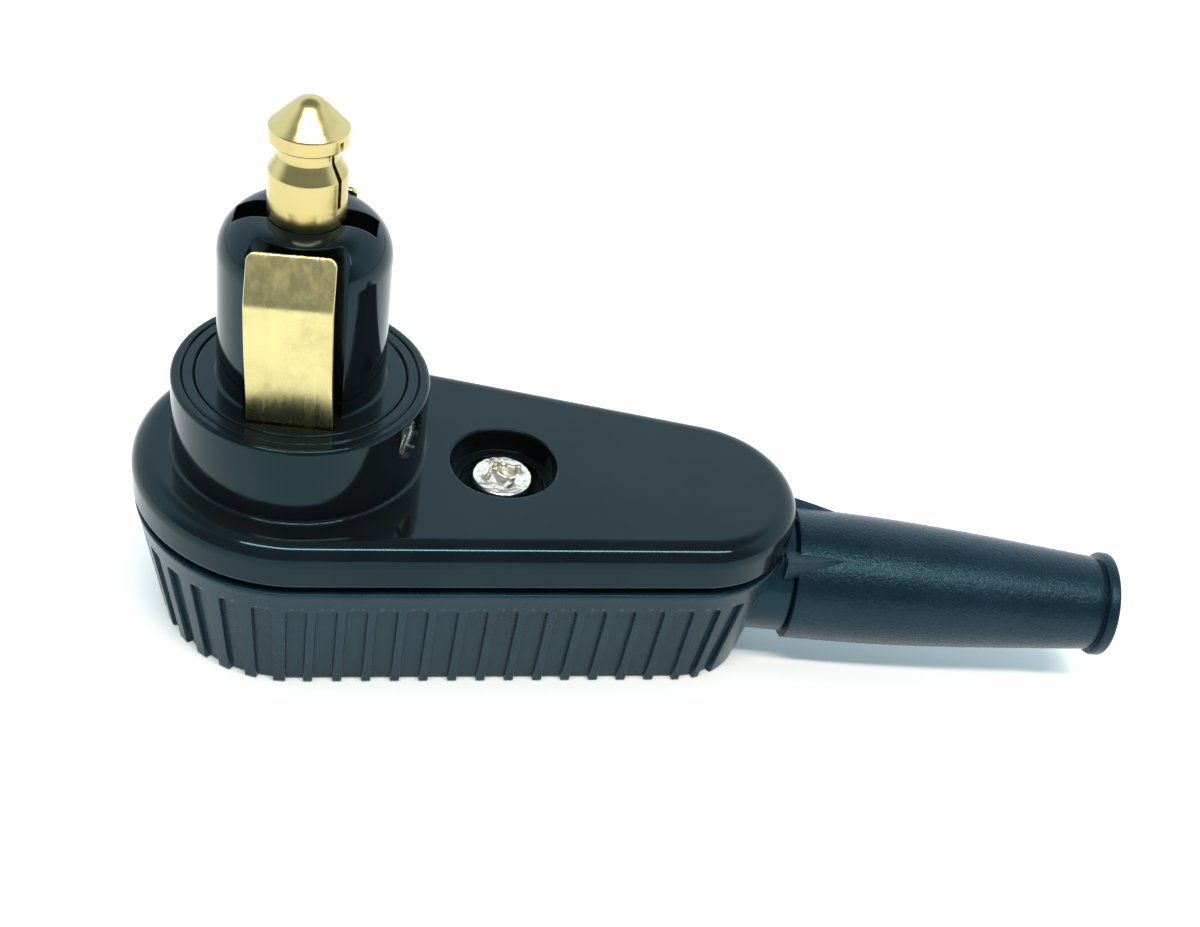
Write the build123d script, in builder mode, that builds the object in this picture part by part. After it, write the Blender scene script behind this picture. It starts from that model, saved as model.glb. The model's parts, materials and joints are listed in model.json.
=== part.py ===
"""Right-angle 12 V accessory plug, standing on its ribbed base with the plug nose up.

Millimetres. The origin is on the nose axis, on the surface the base stands on.
+Z points along the nose towards the centre pin, +X towards the cable boot.
"""

import os
from math import asin, atan, cos, degrees, radians, sin

from build123d import *

os.makedirs("parts", exist_ok=True)

# ---- Casing outline: a teardrop, big end under the nose, small end at the boot ----
end_spacing = 29.0
upper_big_radius = 12.0
upper_small_radius = 7.85
skirt_bottom = 11.45
casing_top = 14.9
top_edge_radius = 1.5
recess_edge_radius = 0.15
collar_foot_radius = 0.25
skirt_edge_radius = 0.3
upper_wall = 1.2
ceiling = 13.1

base_big_radius = 9.95
rim_big_radius = 11.88
lower_rim = 10.75
floor_thickness = 1.6
lower_wall = 1.98
lip_clearance = 0.1
lip_top = 13.05

# ---- Flutes moulded into the lower housing, with the ribs left between them ----
side_flute_count = 38
side_flute_pitch = 2.146
end_flute_count = 15
flute_width = 1.54
flute_depth = 0.4
flute_corner = 0.35
flute_start_below_rim = 1.9
first_flute_offset = -0.196

# ---- Collar, swivelling nose and its retaining ring ----
collar_radius = 9.12
collar_top = 21.2
collar_edge_radius = 0.3
ring_outer_radius = 8.35
ring_inner_radius = 7.5
ring_thickness = 0.55
shoulder_radius = 7.75
shoulder_seat = 16.45
tail_radius = 7.2
tail_bottom = 11.6
running_clearance = 0.05
seam_chamfer = 0.12
fixed_clearance = 0.02
thread_clearance = 0.03
screw_clearance = 0.15

nose_radius = 5.9
nose_top = 34.1
nose_edge_radius = 2.9
nose_foot_radius = 0.25
pocket_half_width = 3.35
pocket_floor = 3.2
pocket_top = 33.85
pocket_corner = 0.9
cross_slot_width = 2.1
cross_slot_length = 9.5
cross_slot_depth = 2.5

# ---- Centre pin ----
pin_radius = 2.64
pin_shank_radius = 2.2
pin_neck_radius = 2.0
pin_cap_radius = 1.5
pin_cap_angle = 43.5
pin_cone_bottom = 37.5
pin_neck_bottom = 38.6
pin_head_bottom = 39.5
pin_head_rim = 40.6
pin_head_chamfer = 0.15
pin_tip = 42.57
pin_shoulder = 18.0
rod_radius = 2.0
rod_bottom = 5.4
rod_chamfer = 0.3
slit_width = 0.35
slit_bottom = 35.85
slit_top = 40.3
slit_azimuth = -32.0

# ---- Spring contacts and earth bridge ----
strip_width = 5.9
strip_thickness = 0.4
strip_root_y = 6.0
strip_root_z = 20.45
strip_bend = (6.44, 10.35)
strip_bend_radius = 1.4
strip_tip_y = 4.5
strip_tip_z = 33.65
strip_lean = 1.5
strip_bow = ((6.1, 1.55), (6.52, 6.2), (6.45, 9.9))
strip_bow_top_lean = 0.1
root_socket_depth = 0.1
slot_half_width = 3.05
slot_inner_y = 5.6
slot_outer_y = 6.4
foot_width = 4.4
foot_gap = 0.07
foot_slot_half_depth = 0.25
foot_slot_clearance = 0.1
bridge_outer_radius = 6.95
bridge_inner_radius = 4.8
rivet_x = 5.9
rivet_radius = 0.7
rivet_head_radius = 1.15
rivet_head_height = 0.45
rivet_tip = 14.6
rivet_hole_spare = 0.1

# ---- Swivel stop: grub screw through the collar, its dog in a groove ----
grub_azimuth = -26.2
grub_z = 19.2
grub_radius = 1.27
grub_slot_turn = 60.0
grub_slot_width = 0.45
grub_slot_depth = 0.5
grub_outer_end = 8.75
dog_radius = 0.75
dog_tip = 7.25
groove_floor_radius = 7.15
groove_half_height = 0.9
swivel_limit = 90.0
groove_end_play = 7.0

# ---- Terminals under the nose ----
nut_across_flats = 6.5
nut_bottom = 9.4
block_bottom = 5.2
block_half_width = 3.0
block_end = 6.2
wire_bore_radius = 1.2
wire_bore_z = 7.2
wire_bore_end = 2.5
clamp_screw_x = 4.4
clamp_thread_radius = 1.22
clamp_head_radius = 1.85
clamp_head_height = 1.1
clamp_slot_width = 0.6
clamp_slot_depth = 0.6
clamp_thread_depth = 2.0
clamp_tip_below_wire = 0.7
earth_block_inner_y = 4.4
earth_block_outer_y = 7.8
earth_block_half_length = 2.6
earth_block_bottom = 7.6
earth_wire_z = 9.5
divider_y = 3.75
divider_thickness = 0.6
divider_start_x = -4.6
divider_end_x = 6.4
divider_bottom = 3.6
divider_top = 11.15
tongue_half_width = 2.5
tongue_top = 13.2

# ---- Casing screw ----
screw_x = 15.0
recess_radius = 3.93
recess_step = 12.9
seat_radius = 3.2
screw_seat = 12.0
head_radius = 2.35
head_height = 1.85
head_edge_radius = 0.3
cross_recess_turn = 25.0
cross_recess_length = 2.5
cross_recess_width = 0.62
cross_recess_depth = 0.95
tip_chamfer = 0.4
shank_radius = 1.45
shank_bottom = 4.6
boss_radius = 4.9
post_radius = 3.6
post_top = 8.7
insert_radius = 2.28
insert_bottom = 4.2
insert_top = 8.2

# ---- Cable axis, neck, clamp and boot ----
cable_z = 7.1
cable_bore_radius = 2.6
neck_radius = 4.5
neck_bore_radius = 2.8
neck_start = 33.2
neck_end = 37.35
neck_flat_z = 11.35
neck_flat_end = 36.9
spigot_radius = 4.0
spigot_end = 41.4
barb_radius = 4.3
barb_start = 39.8
barb_end = 40.8
barb_root = 0.2

clamp_x = 26.0
clamp_length = 3.6
clamp_half_width = 5.3
clamp_bottom = 9.72
clamp_thickness = 1.3
clamp_post_y = 4.0
clamp_post_radius = 1.5
clamp_shank_radius = 1.0
clamp_shank_length = 5.5
clamp_corner = 0.8
clamp_screw_head_radius = 1.75
clamp_screw_head_height = 1.15
clamp_screw_slot = 0.5

boot_start = 37.45
boot_end = 62.0
boot_root_radius = 5.0
boot_taper = ((44.0, 4.85), (50.0, 4.5), (56.0, 4.0))
boot_tip_radius = 3.55
boot_bead_radius = 3.95
boot_end_edge = 0.3
bore_step_gap = 0.05
barb_groove_gap = 0.1
flex_x = 46.5
socket_radius = 5.0
ball_radius = 4.9
bead_length = 0.9
fin_start = 36.4
fin_end = 41.2
fin_angles = (37.0, 59.0)
fin_ridge_angle = 47.0
fin_end_angle = 56.0
fin_ridge_radius = 5.95
fin_foot_radius = 4.75
fin_end_scale = 0.12

# ---- Worked out from the driving dimensions ----
draft_run = rim_big_radius - base_big_radius
draft_angle = degrees(atan(draft_run / lower_rim))
radius_step = upper_big_radius - upper_small_radius
flank_angle = degrees(asin(radius_step / end_spacing))
cable_axis = Axis((0, 0, cable_z), (1, 0, 0))
boot_plane = Plane((0, 0, cable_z), x_dir=(1, 0, 0), z_dir=(0, -1, 0))
grub_direction = Vector(cos(radians(grub_azimuth)), sin(radians(grub_azimuth)), 0)


def save(piece, name):
    """Label a finished builder's part and write it as its own STEP file."""
    piece.part.label = name
    export_step(piece.part, f"parts/{name}.step")


def teardrop(z, big_radius):
    """The casing's outline at height z, its small end smaller by radius_step."""
    with BuildSketch(Plane.XY.offset(z)) as outline:
        Circle(big_radius)
        with Locations((end_spacing, 0)):
            Circle(big_radius - radius_step)
        make_hull()
    return outline.sketch


def disc(z, radius, height, x=0.0, y=0.0, mode=Mode.ADD):
    """Add or cut a vertical cylinder that starts at height z."""
    with Locations((x, y, z)):
        Cylinder(radius, height, align=(Align.CENTER, Align.CENTER, Align.MIN), mode=mode)


def block(low, high, mode=Mode.ADD):
    """Add or cut a box between two opposite corners."""
    size = [b - a for a, b in zip(low, high)]
    with Locations(low):
        Box(*size, align=(Align.MIN, Align.MIN, Align.MIN), mode=mode)


def rim_point(distance):
    """Point and outward direction on the lower housing's rim, that far along it.

    Distance zero is where the big end's arc meets the -Y flank; it grows along that
    flank, round the small end, back along the +Y flank and round the big end.
    """
    small_radius = rim_big_radius - radius_step
    flank = end_spacing * cos(radians(flank_angle))
    small_arc = small_radius * radians(180 - 2 * flank_angle)
    tilt = 90 - flank_angle
    if distance < flank:
        angle, radius, centre, along = -tilt, rim_big_radius, 0.0, distance
    elif distance < flank + small_arc:
        angle = -tilt + degrees((distance - flank) / small_radius)
        radius, centre, along = small_radius, end_spacing, 0.0
    elif distance < 2 * flank + small_arc:
        angle, radius, centre = tilt, small_radius, end_spacing
        along = distance - flank - small_arc
    else:
        angle = tilt + degrees((distance - 2 * flank - small_arc) / rim_big_radius)
        radius, centre, along = rim_big_radius, 0.0, 0.0
    outward = Vector(cos(radians(angle)), sin(radians(angle)), 0)
    forward = Vector(-outward.Y, outward.X, 0)
    return Vector(centre, 0, lower_rim) + outward * radius + forward * along, outward


def flute_planes():
    """Planes on the sloping wall, one per flute: x along the rim, z square to the wall.

    The flutes round the big end are spaced a little wider than those along the sides.
    """
    small_radius = rim_big_radius - radius_step
    flank = end_spacing * cos(radians(flank_angle))
    arcs = rim_big_radius * radians(180 + 2 * flank_angle)
    arcs += small_radius * radians(180 - 2 * flank_angle)
    perimeter = 2 * flank + arcs
    draft = radians(draft_angle)
    side_run = (side_flute_count - 1) * side_flute_pitch
    end_pitch = (perimeter - side_run) / (end_flute_count + 1)
    distances = [first_flute_offset + i * side_flute_pitch for i in range(side_flute_count)]
    distances += [distances[-1] + (i + 1) * end_pitch for i in range(end_flute_count)]
    planes = []
    for distance in distances:
        point, outward = rim_point(distance % perimeter)
        beside_neck = point.X > end_spacing and abs(point.Y) < neck_radius + flute_width / 2
        if not beside_neck:
            normal = outward * cos(draft) - Vector(0, 0, 1) * sin(draft)
            planes.append(Plane(point, x_dir=(-outward.Y, outward.X, 0), z_dir=normal))
    return planes


def strip_profile(side, lean):
    """A spring contact's bent strip seen from the end; side is -1 front, +1 rear.

    The sketch is drawn from the strip's root, on a plane that leans by that angle.
    """
    tilt = radians(lean)
    root_plane = Plane((0, 0, strip_root_z), x_dir=(0, 1, 0), z_dir=(cos(tilt), 0, sin(tilt)))
    with BuildSketch(root_plane) as profile:
        with BuildLine():
            bow = Spline(
                (side * strip_root_y, 0),
                *[(side * y, z) for y, z in strip_bow],
                tangents=((0, 1), (-side * strip_bow_top_lean, 1)),
            )
            bend = (side * strip_bend[0], strip_bend[1])
            tip = (side * strip_tip_y, strip_tip_z - strip_root_z)
            FilletPolyline(bow @ 1, bend, tip, radius=strip_bend_radius)
        trace(line_width=strip_thickness)
    return profile.sketch


def slotted_head_screw(x, y, head_low, tip_high):
    """A clamp screw, its slotted head facing down and its shank pointing up."""
    disc(head_low, clamp_head_radius, clamp_head_height, x, y)
    disc(head_low, clamp_thread_radius, tip_high - head_low, x, y)
    with Locations((x, y, head_low)):
        Box(3 * clamp_head_radius, clamp_slot_width, 2 * clamp_slot_depth, mode=Mode.SUBTRACT)


# ---- Upper housing: gloss lid with the collar and the recess for the casing screw ----
with BuildPart() as upper_housing:
    extrude(teardrop(skirt_bottom, upper_big_radius), amount=casing_top - skirt_bottom)
    fillet(upper_housing.faces().sort_by(Axis.Z)[-1].edges(), top_edge_radius)
    disc(ceiling, collar_radius, collar_top - ceiling)
    fillet(upper_housing.faces().sort_by(Axis.Z)[-1].edges(), collar_edge_radius)
    inside = teardrop(skirt_bottom, upper_big_radius - upper_wall)
    extrude(inside, amount=ceiling - skirt_bottom, mode=Mode.SUBTRACT)
    disc(post_top, boss_radius, ceiling - post_top, screw_x)
    disc(ceiling - 1, tail_radius + running_clearance + fixed_clearance, 10, mode=Mode.SUBTRACT)
    disc(shoulder_seat, shoulder_radius + running_clearance, 10, mode=Mode.SUBTRACT)
    disc(collar_top - ring_thickness, ring_outer_radius, 2, mode=Mode.SUBTRACT)
    chamfer(
        upper_housing.edges()
        .filter_by(GeomType.CIRCLE)
        .filter_by(lambda e: abs(e.radius - ring_outer_radius) < 0.01)
        .sort_by(Axis.Z)[-1],
        seam_chamfer,
    )
    disc(recess_step, recess_radius, 4, screw_x, mode=Mode.SUBTRACT)
    disc(screw_seat, seat_radius, 2, screw_x, mode=Mode.SUBTRACT)
    disc(post_top - 1, shank_radius + screw_clearance, 6, screw_x, mode=Mode.SUBTRACT)
    with BuildSketch(Plane(grub_direction * 6 + Vector(0, 0, grub_z), z_dir=grub_direction)):
        Circle(grub_radius + thread_clearance)
    extrude(amount=6, mode=Mode.SUBTRACT)
    circles = upper_housing.edges().filter_by(GeomType.CIRCLE)
    recess_edge = circles.filter_by(lambda e: abs(e.radius - recess_radius) < 0.01)
    fillet(recess_edge.sort_by(Axis.Z)[-1], recess_edge_radius)
    circles = upper_housing.edges().filter_by(GeomType.CIRCLE)
    collar_foot = circles.filter_by(
        lambda e: abs(e.radius - collar_radius) < 0.01 and abs((e @ 0.5).Z - casing_top) < 0.01
    )
    fillet(collar_foot, collar_foot_radius)
    skirt_face = upper_housing.faces().filter_by(Axis.Z).filter_by(
        lambda f: abs(f.center().Z - skirt_bottom) < 0.01
    )[0]
    fillet(skirt_face.outer_wire().edges(), skirt_edge_radius)
save(upper_housing, "upper_housing")

# ---- Lower housing: tapered, fluted tub with the neck that carries the boot ----
with BuildPart() as lower_housing:
    extrude(teardrop(0, base_big_radius), amount=lower_rim, taper=-draft_angle)
    with BuildSketch(Plane.YZ.offset(neck_start)):
        with Locations((0, cable_z)):
            Circle(neck_radius)
    extrude(amount=neck_end - neck_start)
    block((neck_start, -6, neck_flat_z), (neck_flat_end, 6, casing_top), mode=Mode.SUBTRACT)
    lip = teardrop(lower_rim, upper_big_radius - upper_wall - lip_clearance)
    extrude(lip, amount=lip_top - lower_rim)
    mouth_radius = rim_big_radius - lower_wall
    extrude(teardrop(lower_rim, mouth_radius), amount=lip_top - lower_rim, mode=Mode.SUBTRACT)
    rise = lower_rim - floor_thickness
    hollow = teardrop(floor_thickness, mouth_radius - rise * draft_run / lower_rim)
    extrude(hollow, amount=rise, taper=-draft_angle, mode=Mode.SUBTRACT)
    with BuildSketch(*flute_planes()):
        with Locations((0, -flute_start_below_rim - lower_rim / 2)):
            RectangleRounded(flute_width, lower_rim, flute_corner)
    extrude(amount=-flute_depth, mode=Mode.SUBTRACT)
    disc(floor_thickness, post_radius, post_top - floor_thickness, screw_x)
    for side in (-1, 1):
        disc(1, clamp_post_radius, clamp_bottom - 1, clamp_x, side * clamp_post_y)
        disc(4, clamp_shank_radius + thread_clearance, 8, clamp_x, side * clamp_post_y, Mode.SUBTRACT)
    disc(insert_bottom, insert_radius + fixed_clearance, 8, screw_x, mode=Mode.SUBTRACT)
    with BuildSketch(Plane.YZ.offset(neck_end)):
        with Locations((0, cable_z)):
            Circle(spigot_radius)
    extrude(amount=spigot_end - neck_end)
    with BuildSketch(Plane.XZ):
        with BuildLine():
            Polyline(
                (barb_start, cable_z + spigot_radius - barb_root),
                (barb_start, cable_z + barb_radius),
                (barb_end, cable_z + spigot_radius),
                (barb_end, cable_z + spigot_radius - barb_root),
                close=True,
            )
        make_face()
    revolve(axis=cable_axis)
    with BuildSketch(Plane.YZ.offset(neck_start - 2)):
        with Locations((0, cable_z)):
            Circle(neck_bore_radius)
    extrude(amount=spigot_end + 3 - neck_start, mode=Mode.SUBTRACT)
save(lower_housing, "lower_housing")

# ---- Retaining ring that holds the nose down in the collar ----
with BuildPart() as retaining_ring:
    with BuildSketch(Plane.XY.offset(collar_top - ring_thickness)):
        Circle(ring_outer_radius - fixed_clearance)
        Circle(ring_inner_radius, mode=Mode.SUBTRACT)
    extrude(amount=ring_thickness)
    chamfer(retaining_ring.faces().sort_by(Axis.Z)[-1].edges(), seam_chamfer)
save(retaining_ring, "nose_retaining_ring")

# ---- Plug nose: insulator with flange, contact pockets and cross slot ----
with BuildPart() as plug_nose:
    disc(tail_bottom, tail_radius, shoulder_seat - tail_bottom + 1)
    shoulder_top = collar_top - ring_thickness - running_clearance
    disc(shoulder_seat, shoulder_radius, shoulder_top - shoulder_seat)
    disc(shoulder_seat, ring_inner_radius - running_clearance, collar_top - shoulder_seat)
    chamfer(plug_nose.faces().sort_by(Axis.Z)[-1].edges(), seam_chamfer)
    disc(collar_top, nose_radius, nose_top - collar_top)
    fillet(plug_nose.faces().sort_by(Axis.Z)[-1].edges(), nose_edge_radius)
    nose_foot = (
        plug_nose.edges()
        .filter_by(GeomType.CIRCLE)
        .filter_by(lambda e: abs(e.radius - nose_radius) < 0.01)
        .sort_by(Axis.Z)[0]
    )
    fillet(nose_foot, nose_foot_radius)
    for side in (-1, 1):
        wall = Plane((0, side * pocket_floor, 0), x_dir=(-side, 0, 0), z_dir=(0, side, 0))
        with BuildSketch(wall):
            with Locations((0, (collar_top + pocket_top) / 2)):
                RectangleRounded(2 * pocket_half_width, pocket_top - collar_top, pocket_corner)
            with Locations((0, collar_top)):
                Rectangle(2 * pocket_half_width, 4, align=(Align.CENTER, Align.MIN))
        extrude(amount=nose_radius, mode=Mode.SUBTRACT)
        near, far = sorted((side * slot_inner_y, side * slot_outer_y))
        block(
            (-slot_half_width, near, strip_root_z - root_socket_depth),
            (slot_half_width, far, collar_top + 1),
            Mode.SUBTRACT,
        )
        foot_slot = foot_width / 2 + foot_slot_clearance
        block(
            (-foot_slot, side * strip_root_y - foot_slot_half_depth, tail_bottom - 1),
            (foot_slot, side * strip_root_y + foot_slot_half_depth, strip_root_z),
            Mode.SUBTRACT,
        )
        disc(
            tail_bottom,
            rivet_radius + fixed_clearance,
            rivet_tip + rivet_hole_spare - tail_bottom,
            side * rivet_x,
            mode=Mode.SUBTRACT,
        )
    disc(pin_shoulder, pin_shank_radius + fixed_clearance, 20, mode=Mode.SUBTRACT)
    disc(tail_bottom - 1, rod_radius + fixed_clearance, 10, mode=Mode.SUBTRACT)
    block(
        (-cross_slot_length / 2, -cross_slot_width / 2, nose_top - cross_slot_depth),
        (cross_slot_length / 2, cross_slot_width / 2, nose_top + 1),
        Mode.SUBTRACT,
    )
    tongue_slot = tongue_half_width + running_clearance
    block(
        (-tongue_slot, divider_y - divider_thickness / 2 - running_clearance, tail_bottom - 1),
        (
            tongue_slot,
            divider_y + divider_thickness / 2 + running_clearance,
            tongue_top + running_clearance,
        ),
        Mode.SUBTRACT,
    )
    groove_start = radians(grub_azimuth - swivel_limit - groove_end_play)
    groove_plane = Plane(
        (0, 0, 0),
        x_dir=(cos(groove_start), sin(groove_start), 0),
        z_dir=(sin(groove_start), -cos(groove_start), 0),
    )
    with BuildSketch(groove_plane):
        with Locations((groove_floor_radius, grub_z)):
            Rectangle(2, 2 * groove_half_height, align=(Align.MIN, Align.CENTER))
    revolve(
        axis=Axis.Z,
        revolution_arc=2 * (swivel_limit + groove_end_play),
        mode=Mode.SUBTRACT,
    )
save(plug_nose, "plug_nose")

# ---- Centre pin: slit shaft, neck and pointed head, with a threaded rod below ----
with BuildPart() as centre_pin:
    with BuildSketch(Plane.XZ):
        with BuildLine():
            cap = CenterArc(
                (0, pin_tip - pin_cap_radius),
                pin_cap_radius,
                start_angle=90 - pin_cap_angle,
                arc_size=pin_cap_angle,
            )
            Polyline(
                cap @ 1,
                (0, rod_bottom),
                (rod_radius - rod_chamfer, rod_bottom),
                (rod_radius, rod_bottom + rod_chamfer),
                (rod_radius, pin_shoulder + fixed_clearance),
                (pin_shank_radius, pin_shoulder + fixed_clearance),
                (pin_shank_radius, nose_top + fixed_clearance),
                (pin_radius, nose_top + fixed_clearance),
                (pin_radius, pin_cone_bottom),
                (pin_neck_radius, pin_neck_bottom),
                (pin_neck_radius, pin_head_bottom),
                (pin_radius - pin_head_chamfer, pin_head_bottom),
                (pin_radius, pin_head_bottom + pin_head_chamfer),
                (pin_radius, pin_head_rim),
                cap @ 0,
            )
        make_face()
    revolve(axis=Axis.Z)
    with Locations(Location((0, 0, (slit_bottom + slit_top) / 2), (0, 0, slit_azimuth))):
        Box(3 * pin_radius, slit_width, slit_top - slit_bottom, mode=Mode.SUBTRACT)
save(centre_pin, "centre_pin")

# ---- Spring contacts: bowed strips in the front and rear pockets ----
with BuildPart() as front_spring_contact:
    extrude(strip_profile(-1, strip_lean), amount=strip_width / 2, both=True)
save(front_spring_contact, "front_spring_contact")

with BuildPart() as rear_spring_contact:
    extrude(strip_profile(1, 0), amount=strip_width / 2, both=True)
save(rear_spring_contact, "rear_spring_contact")

# ---- Earth bridge: ring under the nose with a foot up to each spring contact ----
with BuildPart() as earth_bridge:
    with BuildSketch(Plane.XY.offset(tail_bottom - strip_thickness)):
        Circle(bridge_outer_radius)
        Circle(bridge_inner_radius, mode=Mode.SUBTRACT)
        with Locations((-rivet_x, 0), (rivet_x, 0)):
            Circle(rivet_radius + fixed_clearance, mode=Mode.SUBTRACT)
    extrude(amount=strip_thickness)
    with Locations((0, -strip_root_y, tail_bottom), (0, strip_root_y, tail_bottom)):
        Box(
            foot_width,
            strip_thickness,
            strip_root_z - foot_gap - tail_bottom,
            align=(Align.CENTER, Align.CENTER, Align.MIN),
        )
save(earth_bridge, "earth_bridge")

# ---- Two rivets that fix the earth bridge to the nose's tail ----
with BuildPart() as bridge_rivets:
    for x in (-rivet_x, rivet_x):
        head_low = tail_bottom - strip_thickness - rivet_head_height
        disc(head_low, rivet_head_radius, rivet_head_height, x)
        disc(head_low, rivet_radius, rivet_tip - head_low, x)
save(bridge_rivets, "bridge_rivets")

# ---- Nut that pulls the centre pin down into the nose ----
with BuildPart() as pin_nut:
    with BuildSketch(Plane.XY.offset(nut_bottom)):
        RegularPolygon(nut_across_flats / 2, 6, major_radius=False)
        Circle(rod_radius + fixed_clearance, mode=Mode.SUBTRACT)
    extrude(amount=tail_bottom - nut_bottom)
save(pin_nut, "pin_nut")

# ---- Terminal block on the centre pin's rod, and its clamp screw ----
with BuildPart() as pin_terminal:
    block(
        (-block_half_width, -block_half_width, block_bottom),
        (block_end, block_half_width, nut_bottom),
    )
    disc(block_bottom, rod_radius + fixed_clearance, nut_bottom - block_bottom, mode=Mode.SUBTRACT)
    thread_hole = clamp_thread_radius + thread_clearance
    disc(block_bottom, thread_hole, clamp_thread_depth, clamp_screw_x, mode=Mode.SUBTRACT)
    with BuildSketch(Plane.YZ.offset(block_end)):
        with Locations((0, wire_bore_z)):
            Circle(wire_bore_radius)
    extrude(amount=wire_bore_end - block_end, mode=Mode.SUBTRACT)
save(pin_terminal, "pin_terminal")

with BuildPart() as pin_terminal_screw:
    head_low = block_bottom - clamp_head_height
    slotted_head_screw(clamp_screw_x, 0, head_low, wire_bore_z - clamp_tip_below_wire)
save(pin_terminal_screw, "pin_terminal_screw")

# ---- Terminal block under the earth bridge, and its clamp screw ----
with BuildPart() as earth_terminal:
    earth_block_y = (earth_block_inner_y + earth_block_outer_y) / 2
    block(
        (-earth_block_half_length, earth_block_inner_y, earth_block_bottom),
        (earth_block_half_length, earth_block_outer_y, tail_bottom - strip_thickness),
    )
    disc(earth_block_bottom, thread_hole, clamp_thread_depth, 0, earth_block_y, Mode.SUBTRACT)
    with BuildSketch(Plane.YZ):
        with Locations((earth_block_y, earth_wire_z)):
            Circle(wire_bore_radius)
    extrude(amount=earth_block_half_length, both=True, mode=Mode.SUBTRACT)
save(earth_terminal, "earth_terminal")

with BuildPart() as earth_terminal_screw:
    head_low = earth_block_bottom - clamp_head_height
    slotted_head_screw(0, earth_block_y, head_low, earth_wire_z - clamp_tip_below_wire)
save(earth_terminal_screw, "earth_terminal_screw")

# ---- Insulating divider between the two terminals, its tongue in the nose's tail ----
with BuildPart() as insulating_divider:
    block(
        (divider_start_x, divider_y - divider_thickness / 2, divider_bottom),
        (divider_end_x, divider_y + divider_thickness / 2, divider_top),
    )
    block(
        (-tongue_half_width, divider_y - divider_thickness / 2, divider_bottom),
        (tongue_half_width, divider_y + divider_thickness / 2, tongue_top),
    )
save(insulating_divider, "insulating_divider")

# ---- Slotted grub screw in the collar, its dog in the nose's groove ----
with BuildPart() as collar_grub_screw:
    grub_plane = Plane(grub_direction * dog_tip + Vector(0, 0, grub_z), z_dir=grub_direction)
    with BuildSketch(grub_plane):
        Circle(dog_radius)
    extrude(amount=shoulder_radius + running_clearance - dog_tip)
    with BuildSketch(grub_plane.offset(shoulder_radius + running_clearance - dog_tip)):
        Circle(grub_radius)
    extrude(amount=grub_outer_end - shoulder_radius - running_clearance)
    with BuildSketch(grub_plane.offset(grub_outer_end - dog_tip)):
        Rectangle(3 * grub_radius, grub_slot_width, rotation=grub_slot_turn)
    extrude(amount=-grub_slot_depth, mode=Mode.SUBTRACT)
save(collar_grub_screw, "collar_grub_screw")

# ---- Casing screw with a cross recess, and the threaded insert it pulls on ----
with BuildPart() as casing_screw:
    disc(screw_seat, head_radius, head_height, screw_x)
    fillet(casing_screw.faces().sort_by(Axis.Z)[-1].edges(), head_edge_radius)
    disc(shank_bottom, shank_radius, screw_seat - shank_bottom, screw_x)
    chamfer(casing_screw.faces().sort_by(Axis.Z)[0].edges(), tip_chamfer)
    for turn in (cross_recess_turn, cross_recess_turn + 90):
        with Locations(Location((screw_x, 0, screw_seat + head_height), (0, 0, turn))):
            Box(cross_recess_length, cross_recess_width, 2 * cross_recess_depth, mode=Mode.SUBTRACT)
save(casing_screw, "casing_screw")

with BuildPart() as threaded_insert:
    disc(insert_bottom, insert_radius, insert_top - insert_bottom, screw_x)
    disc(insert_bottom - 1, shank_radius + running_clearance, 8, screw_x, mode=Mode.SUBTRACT)
save(threaded_insert, "threaded_insert")

# ---- Cord clamp: a bar over the cable and its two screws ----
with BuildPart() as cord_clamp_bar:
    with BuildSketch(Plane.XY.offset(clamp_bottom)):
        with Locations((clamp_x, 0)):
            RectangleRounded(clamp_length, 2 * clamp_half_width, clamp_corner)
        with Locations((clamp_x, -clamp_post_y), (clamp_x, clamp_post_y)):
            Circle(clamp_shank_radius + running_clearance, mode=Mode.SUBTRACT)
    extrude(amount=clamp_thickness)
save(cord_clamp_bar, "cord_clamp_bar")

with BuildPart() as cord_clamp_screws:
    for y in (-clamp_post_y, clamp_post_y):
        seat = clamp_bottom + clamp_thickness
        disc(seat, clamp_screw_head_radius, clamp_screw_head_height, clamp_x, y)
        disc(seat - clamp_shank_length, clamp_shank_radius, clamp_shank_length, clamp_x, y)
        with Locations((clamp_x, y, seat + clamp_screw_head_height)):
            Box(clamp_screw_slot, 4, clamp_screw_head_height, mode=Mode.SUBTRACT)
save(cord_clamp_screws, "cord_clamp_screws")


def boot_section():
    """Half section of the whole boot: tapered sleeve, stepped bore and end bead."""
    grip_radius = spigot_radius + thread_clearance
    with BuildSketch() as section:
        with BuildLine():
            taper = Spline(
                (boot_start, boot_root_radius),
                *boot_taper,
                (boot_end - bead_length, boot_tip_radius),
            )
            bead = ThreePointArc(
                taper @ 1,
                (boot_end - bead_length / 2, boot_bead_radius),
                (boot_end, boot_bead_radius - boot_end_edge),
            )
            Polyline(
                bead @ 1,
                (boot_end, cable_bore_radius),
                (spigot_end + bore_step_gap, cable_bore_radius),
                (spigot_end + bore_step_gap, grip_radius),
                (barb_end + barb_groove_gap, grip_radius),
                (barb_end + barb_groove_gap, barb_radius + thread_clearance),
                (barb_start - barb_groove_gap, barb_radius + thread_clearance),
                (barb_start - barb_groove_gap, grip_radius),
                (boot_start, grip_radius),
                taper @ 0,
            )
        make_face()
    return section.sketch_local


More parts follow.
